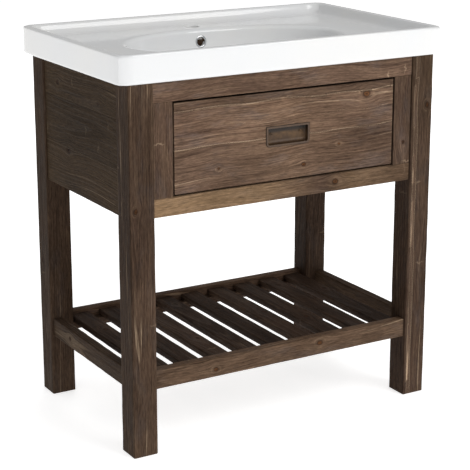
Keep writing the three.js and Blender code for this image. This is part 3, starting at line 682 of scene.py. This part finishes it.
recessLow, recessHigh = boxOf("recess_front")
bottomLow, bottomHigh = boxOf("drawer_bottom")
wall = recessHigh[1] - recessLow[1]
notchLow = np.array([recessLow[0] + wall, recessHigh[1], bottomLow[2] - 0.01])
notchHigh = np.array([recessHigh[0] - wall, bottomHigh[1] + 0.02, bottomHigh[2] + 0.01])
notch = newPiece("notch", *boardSkin(notchLow, notchHigh, 2, {**boardLook, "wear": 0.0, "cell": 0.05}))
makeBoard("drawer_bottom", "x", carving=notch, seed=81, arris=0.0006, wear=0.0, streaks=0.15, cell=0.008,
        mottle=0.05, lean=0.03, seams=[-0.12, 0.02, 0.11], plankLight=[1.0, 0.95, 1.04, 0.97])
print("drawer box made")


# A ring in the plane of the drawer's face: an upright rectangle whose upper and lower corners have
# their own radii.
def pullRing(halfWidth, bottom, top, y, topRadius, bottomRadius):
    corners = [(halfWidth, top), (-halfWidth, top), (-halfWidth, bottom), (halfWidth, bottom)]
    outline = rounded(corners, [topRadius, topRadius, bottomRadius, bottomRadius], steps=8)
    runs = []
    for start in (0, 9, 18, 27):  # each corner's nine points, then the straight to the next corner
        straight = np.linspace(outline[start + 8], outline[(start + 9) % 36], 7)[:-1]
        runs += [outline[start:start + 8], straight]
    outline = np.vstack(runs)
    return together(outline[:, 0], y, outline[:, 1])


pullLook = {"bezel": 0.005, "edge": 0.0009, "rim": 0.0007, "lip": 0.003, "depth": 0.011,
        "wall": 0.0015, "lowCorner": 0.011, "topCorner": 0.0016,
        "shadow": 0.95, "shadowFrom": 0.52, "shadowFade": 0.22, "lowShade": 0.30, "firstCupRing": 14}


# The pull is a skin through rings: round the back of the cup, out to the bezel's edge, over its
# crowned face, in past the lip and down the cup, whose lower wall sweeps up into the floor.
def makePull():
    look = pullLook
    (left, faceY, bottom), (right, backY, top) = boxOf("drawer_pull")
    frontY = boxOf("drawer_front")[0][1]
    half = (right - left) / 2
    upTo, downTo = look["topCorner"], look["lowCorner"]
    floorY = faceY + look["depth"]

    def outer(inset, y):
        return pullRing(half - inset, bottom + inset, top - inset, y,
                max(upTo - inset * 0.2, 0.0008), max(downTo - inset, 0.002))

    def cup(inset, y, low=0.0, lip=0.0, corner=0.0):
        reach = look["bezel"] + inset
        return pullRing(half - reach, bottom + reach + low, top - reach + lip, y,
                0.0014 + corner, 0.0050 + corner)

    edge, rim, lip, wall = look["edge"], look["rim"], look["lip"], look["wall"]
    rings = [
        cup(-wall, backY, lip=lip), cup(-wall, frontY - 0.0003, lip=lip),
        outer(0.0004, frontY - 0.0002), outer(0.0, frontY - 0.0005), outer(0.0, faceY + edge),
        outer(edge * 0.3, faceY + edge * 0.3), outer(edge, faceY + 0.00005), outer(edge * 1.6, faceY),
        outer(edge * 2.4, faceY + 0.0001), outer(look["bezel"] * 0.62, faceY + rim * 0.8),
        outer(look["bezel"] * 0.80, faceY + rim * 0.7), cup(-0.0005, faceY + rim * 0.4),
        cup(-0.0001, faceY + rim), cup(0.0, faceY + rim * 2), cup(0.0, faceY + 0.0021),
        cup(0.0, faceY + 0.0024, lip=lip * 0.85), cup(0.0, faceY + 0.0029, lip=lip),
        cup(0.0, faceY + 0.0045, low=0.0003, lip=lip), cup(0.0, faceY + 0.0062, low=0.0011, lip=lip),
        cup(0.0, faceY + 0.0080, low=0.0024, lip=lip), cup(0.0, faceY + 0.0095, low=0.0042, lip=lip),
        cup(0.0004, floorY - 0.0004, low=0.0062, lip=lip, corner=0.0003),
        cup(0.0012, floorY, low=0.0072, lip=lip, corner=0.0005),
        cup(0.0060, floorY, low=0.0072, lip=lip), cup(0.0105, floorY, low=0.0062, lip=lip - 0.001),
    ]
    rings = np.stack(rings)
    piece = newPiece("drawer_pull_metal", *closedSkin(rings), smoothAngle=50)
    # How dark each ring is, from the hidden outside to the cup's floor: below 0 is the rubbed crown.
    # The dark is partly patina and partly painted shadow: the shadow line at the bezel's outer edge and,
    # in the cup, the shadow under the lip, with the cup's lower wall painted lighter.
    shade = np.array([1, 1, 1, 1, 1, 0.9, 0.4, -0.3, -0.7, -0.8, -0.7, -0.3, 0.3, 0.8,
            1, 1, 1, 0.9, 0.6, 0.3, 0.2, 0.3, 0.2, 0, 0])
    height = (rings[..., 2] - bottom) / (top - bottom)
    shadow = look["shadow"] * np.clip((height - look["shadowFrom"]) / look["shadowFade"], 0, 1)
    inCup = np.arange(len(rings))[:, None] >= look["firstCupRing"]
    soft = shade[:, None] * (look["lowShade"] + (1 - look["lowShade"]) * height)
    shade = np.where(inCup, np.maximum(soft, shadow), shade[:, None])
    crease = piece.data.attributes.new("crease", "FLOAT", "POINT")
    crease.data.foreach_set("value", np.append(shade.ravel(), [1, 0]).astype(np.float32))
    return piece


standIn(makePull(), "drawer_pull")

pocketGap = 0.0004
(_, pullFace, pullBottom), (pullRight, pullBack, pullTop) = boxOf("drawer_pull")
reach = pullLook["bezel"] - pullLook["wall"] - pocketGap
pocketTop = pullTop - reach + pullLook["lip"]
pocketRings = [pullRing(pullRight - reach, pullBottom + reach, pocketTop, y, 0.002, 0.005)
        for y in (pullFace - 0.01, pullBack + pocketGap)]
pocket = newPiece("pocket", *closedSkin(np.stack(pocketRings)))
# The front's top and bottom edges are darkened as painted shade in its gaps.
makeBoard("drawer_front", "x", carving=pocket, cell=0.0042, arris=0.0020, wear=0.0009, seed=91,
        narrowLight=0.15, seams=[-0.001, 0.078], seamWave=0.005, plankLight=[1.00, 1.20, 0.82],
        streaks=0.55,
        wave=0.005, lean=0.045, pith=-0.07, mottle=0.10,
        tone=[(-1, 1.02, 0.0), (0, 1.08, 0.1), (0.5, 0.92, 0.05), (1, 0.82, 0.0)],
        knots=[(0.74, 0.72, 0.010), (-0.62, -0.55, 0.005), (0.15, -0.72, 0.005), (0.48, -0.35, 0.004)])
print("drawer front made")


# Shares of the head's radius, or of its height for the dome and the slot's depth
screwLook = {"height": 0.56, "shank": 0.47, "dome": 0.42, "slot": 0.15, "slotReach": 0.62,
    "slotDepth": 0.45}


# Screws: a domed head with a cross sunk in it, on a plain shank. The profile is turned about z, then
# its height is laid along y.
def makeScrew(node):
    look = screwLook
    low, high = boxOf(node)
    middle = (low + high) / 2
    towardsFront = "pull" in node
    head = radiusOf(node)
    length = high[1] - low[1]
    headHeight = look["height"] * head
    shank = head * look["shank"]
    inner = np.linspace(0.04, 0.94, 14) * head
    dome = headHeight - look["dome"] * headHeight * (inner / head) ** 2
    point = headHeight - length
    profile = [(head * 0.03, point), (shank * 0.9, point), (shank, -length * 0.8), (shank, 0),
            (head * 0.96, 0), (head, headHeight * 0.12), (head * 0.99, headHeight * 0.4)]
    profile = np.vstack([profile, together(inner, dome)[::-1]])
    points, faces = turnedSkin(profile, (0, 0, 0), 40, "fans")
    cross = np.minimum(np.abs(points[:, 0]), np.abs(points[:, 1])) < head * look["slot"]
    nearMiddle = np.hypot(points[:, 0], points[:, 1]) < head * look["slotReach"]
    sunk = cross & nearMiddle & (points[:, 2] > headHeight * 0.5)
    points[sunk, 2] -= headHeight * look["slotDepth"]
    height = points[:, 2] - points[:, 2].max()
    y = low[1] - height if towardsFront else high[1] + height
    placed = together(middle[0] + points[:, 0], y, middle[2] + points[:, 1])
    return newPiece(node + "_turned", placed, faces)


for side in ("left", "right"):
    for kind in ("pull_screw", "drawer_front_screw"):
        standIn(makeScrew(f"{kind}_{side}"), f"{kind}_{side}")


slideLook = {"sheet": 0.0012, "bend": 0.0016, "hollow": 0.0006, "rim": 0.0003, "rings": 40}


# Each member of a slide is a channel of rolled steel sheet carried along y.
def makeSlide(node, side):
    look = slideLook
    bend, hollow, rimRound = look["bend"], look["hollow"], look["rim"]
    low, high = boxOf(node)
    webAtLow = (side == "left") == ("inner" not in node)
    web, rim = (low[0], high[0]) if webAtLow else (high[0], low[0])
    sheet = math.copysign(look["sheet"], rim - web)
    lowFlange, highFlange = low[2] + look["sheet"], high[2] - look["sheet"]
    corners = [(web, low[2]), (rim, low[2]), (rim, lowFlange), (web + sheet, lowFlange),
            (web + sheet, highFlange), (rim, highFlange), (rim, high[2]), (web, high[2])]
    outline = rounded(corners, [bend, rimRound, rimRound, hollow, hollow, rimRound, rimRound, bend])
    places = np.linspace(low[1], high[1], look["rings"])
    points = np.empty((len(places), len(outline), 3))
    points[..., 0], points[..., 2] = outline[:, 0], outline[:, 1]
    points[..., 1] = places[:, None]
    return newPiece(node + "_rolled", *closedSkin(points, "flat"))


for side in ("left", "right"):
    for member in ("outer", "middle", "inner"):
        standIn(makeSlide(f"slide_{member}_{side}", side), f"slide_{member}_{side}")
print("pull, screws and slides made")


basinLook = {
    "corner": 0.024, "foot": 0.040, "edge": 0.004, "rimTop": 0.012, "slope": 0.028, "deckDrop": 0.024,
    "bowlHalf": (0.255, 0.158), "bowlY": -0.020, "bowlDepth": 0.114, "bowlEdge": 0.009, "fullness": 2.6,
    "seat": 0.032, "seatDepth": 0.003, "drain": 0.0225, "wall": 0.012, "segments": 168,
    "tapHole": 0.0175, "tapFromBack": 0.063, "overflow": 0.012, "overflowDrop": 0.029,
    "leastCorner": 0.006, "bowlLip": 0.012,
}
(basinLeft, basinFront, _), (basinRight, basinBack, basinTop) = boxOf("washbasin")
basinUnder = boxOf("front_top_rail")[1][2] + 0.0002  # a hair of glue lies under the foot ring
basinHalf = ((basinRight - basinLeft) / 2, (basinBack - basinFront) / 2)
deckZ = basinTop - basinLook["deckDrop"]
bowlStart = deckZ - basinLook["bowlEdge"]
bowlFloor = bowlStart - basinLook["bowlDepth"]


bowlMiddle = basinLook["bowlY"]
ringAngle = (np.arange(basinLook["segments"]) + 0.5) * 2 * math.pi / basinLook["segments"]


def ellipseRing(halfX, halfY, z):
    return together(halfX * np.cos(ringAngle), bowlMiddle + halfY * np.sin(ringAngle), z)


# A rounded rectangle. Each point is where a ray leaves it: the ray's angle is that of the ellipse's
# point with the same share of the way round.
def boxRing(halfX, halfY, corner, y, z):
    corners = [(halfX, -halfY), (halfX, halfY), (-halfX, halfY), (-halfX, -halfY)]
    outline = rounded(corners, corner, 16)
    outline = np.vstack([outline, outline[:1]])
    around = np.unwrap(np.arctan2(outline[:, 1], outline[:, 0] * halfY / halfX))
    share = (ringAngle - around[0]) % (2 * math.pi) + around[0]
    x, fromMiddle = np.interp(share, around, outline[:, 0]), np.interp(share, around, outline[:, 1])
    return together(x, y + fromMiddle, z)


# The basin is one skin from the foot ring up the outer faces, over the rim, across the deck, down the
# bowl to the waste and back up underneath. The bowl's side is a superellipse: its share of the half
# width and of the depth are the cosine and sine of an angle, each to the power 2 / fullness.
def makeBasin():
    look = basinLook
    halfX, halfY = basinHalf
    bowlX, bowlY = look["bowlHalf"]
    edge, rimTop, wall = look["edge"], look["rimTop"], look["wall"]
    middle = (basinFront + basinBack) / 2

    def outline(inset, z):
        corner = max(look["corner"] - inset * 0.5, look["leastCorner"])
        return boxRing(halfX - inset, halfY - inset, corner, middle, z)

    def bowl(share, depth, grow=0.0):
        z = bowlStart - (look["bowlDepth"] + grow) * depth
        return ellipseRing(bowlX * share + grow, bowlY * share + grow, z)

    def drainRing(radius, z):
        return ellipseRing(radius, radius, z)

    def outlineArc(inset, z, radius, start, end, steps=5):
        turns = np.radians(np.linspace(start, end, steps))
        return [outline(inset + radius * (1 - np.cos(turn)), z + radius * np.sin(turn))
                for turn in turns]

    rings = [outline(look["foot"], basinUnder), outline(look["foot"] * 0.5, basinUnder)]
    rings += outlineArc(0, basinUnder + edge, edge, -90, 0)
    rings += [outline(0, z) for z in np.linspace(basinUnder + edge * 2, basinTop - edge * 2, 6)]
    rings += outlineArc(0, basinTop - edge, edge, 0, 90)
    rings.append(outline((edge + rimTop) / 2, basinTop))
    slope = np.array([(0, 0), (1.5, 0.35), (3, 1.4), (4.6, 4.0), (6.4, 8.2), (8.6, 12.8), (11.5, 17.2),
            (15, 20.4), (19, 22.4), (23.5, 23.5), (28, 24)]) * 0.001
    rings += [outline(rimTop + inward, basinTop - down) for inward, down in slope]
    lip = look["bowlLip"]
    deckEdge = outline(rimTop + look["slope"], deckZ)
    lipRing = ellipseRing(bowlX + lip, bowlY + lip, deckZ)
    rings += [deckEdge + (lipRing - deckEdge) * share for share in np.linspace(0.1, 1, 10)]
    roll = np.radians(np.linspace(12, 82, 8))
    rings += [ellipseRing(bowlX + lip - lip * np.sin(turn), bowlY + lip - lip * np.sin(turn),
        deckZ - look["bowlEdge"] * (1 - np.cos(turn))) for turn in roll]
    power = 2 / look["fullness"]
    turns = np.linspace(0, 1, 26) ** 1.15 * math.radians(79)
    side = together(np.cos(turns) ** power, np.sin(turns) ** power)
    rings += [bowl(share, depth) for share, depth in side]
    seat = look["seat"]
    rings += [drainRing(seat * 1.7, bowlFloor + 0.0012), drainRing(seat * 1.3, bowlFloor + 0.0004)]
    rings += [drainRing(seat + 0.001, bowlFloor), drainRing(seat, bowlFloor - 0.0006)]
    seatFloor = bowlFloor - look["seatDepth"]
    rings += [drainRing(seat - 0.0007, seatFloor), drainRing(look["drain"], seatFloor)]
    under = seatFloor - wall
    rings += [drainRing(look["drain"], under), drainRing(seat + wall, under)]
    rings += [bowl(share, depth, wall) for share, depth in side[::-3]]
    rings.append(ellipseRing(bowlX + wall, bowlY + wall, deckZ - wall - 0.002))
    rings += [outline(look["foot"], deckZ - wall)]
    return newPiece("washbasin_glazed", *closedSkin(np.stack(rings), "loop"), smoothAngle=42)


axisGap = 0.0005  # a cutter's profile stops this far from its axis


# A cutter whose upper end flares like a trumpet, so that the hole's rim is rounded over.
def holeCutter(radius, flare, depth):
    turn = np.linspace(0, math.pi / 2, 7)
    flared = together(radius + flare * (1 - np.sin(turn)), -flare * (1 - np.cos(turn)))
    profile = [(axisGap, 0.01), (radius + flare, 0.01)] + flared.tolist()
    profile += [(radius, -depth), (axisGap, -depth)]
    return turnedSkin(profile, (0, 0, 0), 64, "fans")


basin = makeBasin()
points, faces = holeCutter(basinLook["tapHole"], 0.002, 0.03)
carve(basin, newPiece("tapCutter", points + [0, basinBack - basinLook["tapFromBack"], deckZ], faces), 42)

# The overflow stands square to the bowl's back wall: its slope there follows from the superellipse.
overflowZ = deckZ - basinLook["overflowDrop"]
fullness, bowlHalfY, bowlDepth = basinLook["fullness"], basinLook["bowlHalf"][1], basinLook["bowlDepth"]
overflowDepth = (bowlStart - overflowZ) / bowlDepth
overflowShare = (1 - overflowDepth ** fullness) ** (1 / fullness)
overflowY = bowlMiddle + bowlHalfY * overflowShare
overflowTilt = math.atan2(overflowDepth ** (fullness - 1) / bowlDepth,
    overflowShare ** (fullness - 1) / bowlHalfY)


# Lays points that stand on z = 0 on the bowl's back wall at the overflow.
def onBowlWall(points):
    lean = math.pi / 2 - overflowTilt
    x, y, z = points[:, 0], points[:, 1], points[:, 2]
    return together(x, overflowY + y * math.cos(lean) - z * math.sin(lean),
            overflowZ + y * math.sin(lean) + z * math.cos(lean))


overflow = basinLook["overflow"]
seatWidth, seatDrop, cutDepth, cutRise = 0.002, -0.0012, -0.03, 0.008
seatCut = [(axisGap, cutDepth), (overflow, cutDepth), (overflow, seatDrop),
        (overflow + seatWidth, seatDrop), (overflow + seatWidth, cutRise), (axisGap, cutRise)]
points, faces = turnedSkin(seatCut, (0, 0, 0), 64, "fans")
carve(basin, newPiece("overflowCutter", onBowlWall(points), faces), 42)
standIn(basin, "washbasin")
print("basin made")

ringLook = {"wall": 0.002, "flange": 0.0017, "sleeve": 0.0117, "depth": -0.0084, "seat": -0.0009,
        "bevel": 0.0012, "face": 0.0012, "round": 0.0006}
bore, outer = overflow - ringLook["wall"], overflow + ringLook["flange"]
ringSleeve, face, bevel = ringLook["sleeve"], ringLook["face"], ringLook["bevel"]
ringCorners = [(bore, ringLook["depth"]), (ringSleeve, ringLook["depth"]), (ringSleeve, ringLook["seat"]),
        (outer, ringLook["seat"]), (outer, 0.0007), (outer - bevel, face), (bore + bevel, face),
        (bore, 0.0004)]
points, faces = turnedSkin(rounded(ringCorners, ringLook["round"]), (0, 0, 0), 64)
standIn(newPiece("overflow_ring_plated", onBowlWall(points), faces), "overflow_ring")


# The waste: a flanged tube through the floor, its seal and nut below and its plug above.
(tubeLow, tubeHigh), (sealLow, sealHigh) = boxOf("waste_body"), boxOf("waste_seal")
(nutLow, nutHigh), (plugLow, plugHigh) = boxOf("waste_nut"), boxOf("waste_plug")
wasteCentre = (0.0, bowlMiddle, 0.0)


def placeTurned(node, finish, profile, segments, ends="loop"):
    standIn(newPiece(f"{node}_{finish}", *turnedSkin(profile, wasteCentre, segments, ends)), node)


wasteLook = {"tube": 0.021, "bore": 0.018, "flangeDepth": 0.003, "pitch": 0.002, "threadDepth": 0.00035,
        "fit": 0.0003, "lead": 0.0016, "chamfer": 0.0012, "coned": 0.93, "nutSteps": 120,
        "plugDepth": 0.007, "domeRise": 0.0035, "mouth": 0.003, "flangeSlope": 0.0016}
flange, tube, tubeBore = radiusOf("waste_body"), wasteLook["tube"], wasteLook["bore"]
tubeTop = tubeHigh[2]
seatZ = tubeTop - wasteLook["flangeDepth"]
tubeCorners = [(tubeBore, tubeLow[2]), (tube, tubeLow[2]), (tube, seatZ), (flange, seatZ),
        (flange, tubeTop - 0.0008), (flange - wasteLook["flangeSlope"], tubeTop),
        (tubeBore + wasteLook["mouth"], tubeTop), (tubeBore, tubeTop - wasteLook["mouth"])]
profile = rounded(tubeCorners, [0.0004, 0.0006, 0.0003, 0.0004, 0.0008, 0.001, 0.0016, 0.002], 5)
threadRise = np.linspace(tubeLow[2] + 0.003, sealLow[2] - 0.001, 96)
groove = (1 + np.sin(threadRise / wasteLook["pitch"] * 2 * math.pi)) / 2
thread = together(tube - wasteLook["threadDepth"] * groove, threadRise)
profile = np.vstack([profile[:12], thread, profile[12:]])
placeTurned("waste_body", "plated", profile, 72)

sealOuter = radiusOf("waste_seal")
sleeve = tube + wasteLook["fit"]  # the inner radius of the seal and the nut
sealCorners = [(sleeve, sealLow[2]), (sealOuter, sealLow[2]), (sealOuter, sealHigh[2]),
        (sleeve, sealHigh[2])]
placeTurned("waste_seal", "moulded", rounded(sealCorners, 0.0014, 6), 64)

# The nut is a six-sided ring: its outer radius at an angle is the flat's distance over the cosine of
# the angle from that flat's middle, and each end is turned off to a cone.
nutReach = radiusOf("waste_nut")
steps, lead, chamfer = wasteLook["nutSteps"], wasteLook["lead"], wasteLook["chamfer"]
angle = np.arange(steps) * 2 * math.pi / steps
flat = nutReach * math.cos(math.pi / 6) / np.cos((angle % (math.pi / 3)) - math.pi / 6)
rows = []
coned, nutUnder, nutTop = wasteLook["coned"] * nutReach, nutLow[2], nutHigh[2]
nutRows = [(sleeve, nutUnder + chamfer, False), (tube + lead, nutUnder, False), (coned, nutUnder, False),
        (nutReach, nutUnder + lead, True), (nutReach, nutTop - lead, True), (coned, nutTop, False),
        (tube + lead, nutTop, False), (sleeve, nutTop - chamfer, False)]
for radius, z, isHex in nutRows:
    reach = flat if isHex else np.minimum(radius, flat)
    rows.append(together(reach * np.cos(angle), bowlMiddle + reach * np.sin(angle), z))
standIn(newPiece("waste_nut_turned", *closedSkin(np.stack(rows), "loop"), smoothAngle=25), "waste_nut")

plugRadius = radiusOf("waste_plug")
plugFoot, plugUnder, rise = plugLow[2], plugHigh[2] - wasteLook["plugDepth"], wasteLook["domeRise"]
crown = np.linspace(1.0, 0.0, 18)[1:-1]
dome = together(plugRadius * crown * 0.985, plugUnder + rise + rise * np.sqrt(1 - crown ** 2))
stem = [(0.0004, plugFoot), (0.0042, plugFoot), (0.005, plugFoot + 0.0008), (0.005, plugUnder - 0.0006)]
cap = [(0.006, plugUnder), (plugRadius - 0.0006, plugUnder), (plugRadius, plugUnder + 0.0006),
       (plugRadius, plugUnder + 0.0024), (plugRadius * 0.998, plugUnder + 0.0032)]
placeTurned("waste_plug", "plated", np.vstack([stem, cap, dome, [(0.0004, plugHigh[2])]]), 72, "fans")
print("waste made")


settingLook = {
    "floor": (0.86, 0.86, 0.86), "ambient": 0.455,
    "key": {"place": (1.6, -3.4, 3.0), "size": 2.6, "power": 78.0},
    "fill": {"place": (-3.2, -1.0, 2.2), "size": 2.4, "power": 6.0},
    "back": {"place": (1.8, 3.6, 2.2), "size": 2.4, "power": 42.0, "unseen": True},
    "camera": {"place": (-1.657, -2.824, 1.322), "yaw": 30.54, "pitch": 15.03, "focal": 114.65,
        "shift": -0.0638},
    "aim": (0.0, 0.0, 0.5),
}

floorMesh = bpy.data.meshes.new("floor")
floorMesh.from_pydata([(-40, -40, 0), (40, -40, 0), (40, 40, 0), (-40, 40, 0)], [], [(0, 1, 2, 3)])
floor = bpy.data.objects.new("floor", floorMesh)
scene.collection.objects.link(floor)
floorPaint = Paint("paleFloor")
floorPaint.set(Base_Color=settingLook["floor"], Roughness=0.9, Specular_IOR_Level=0.1)
floorPaint.set(Emission_Color=(1.0, 1.0, 1.0), Emission_Strength=0.66)
floorMesh.materials.append(floorPaint.material)


def makeWorld():
    world = bpy.data.worlds.new("studio")
    world.use_nodes = True
    scene.world = world
    tree = world.node_tree
    soft = tree.nodes["Background"]
    soft.inputs["Strength"].default_value = settingLook["ambient"]
    soft.inputs["Color"].default_value = (1.0, 1.0, 1.0, 1.0)
    backdrop = tree.nodes.new("ShaderNodeBackground")
    backdrop.inputs["Color"].default_value = (1.0, 1.0, 1.0, 1.0)
    ray = tree.nodes.new("ShaderNodeLightPath")
    mix = tree.nodes.new("ShaderNodeMixShader")
    sources = (ray.outputs["Is Camera Ray"], soft.outputs[0], backdrop.outputs[0])
    for source, socket in zip(sources, mix.inputs):
        tree.links.new(source, socket)
    tree.links.new(mix.outputs[0], tree.nodes["World Output"].inputs[0])


# A soft light at a place, turned to the middle of the washstand. An unseen one lights the matt
# surfaces and leaves no image of itself in the glaze.
def makeLight(name):
    look = settingLook[name]
    light = bpy.data.lights.new(name, "AREA")
    light.shape, light.size = "SQUARE", look["size"]
    light.energy = look["power"]
    lamp = bpy.data.objects.new(name, light)
    lamp.visible_glossy = not look.get("unseen", False)
    lamp.location = look["place"]
    towards = Vector(settingLook["aim"]) - Vector(look["place"])
    lamp.rotation_euler = towards.to_track_quat("-Z", "Y").to_euler()
    scene.collection.objects.link(lamp)


def makeCamera():
    look = settingLook["camera"]
    lens = bpy.data.cameras.new("camera")
    lens.lens, lens.shift_y = look["focal"], look["shift"]
    camera = bpy.data.objects.new("camera", lens)
    camera.location = look["place"]
    camera.rotation_euler = (math.radians(90 - look["pitch"]), 0, -math.radians(look["yaw"]))
    scene.collection.objects.link(camera)
    scene.camera = camera


makeWorld()
for lightName in ("key", "fill", "back"):
    makeLight(lightName)
makeCamera()
scene.view_settings.view_transform = "Standard"
print("setting made")
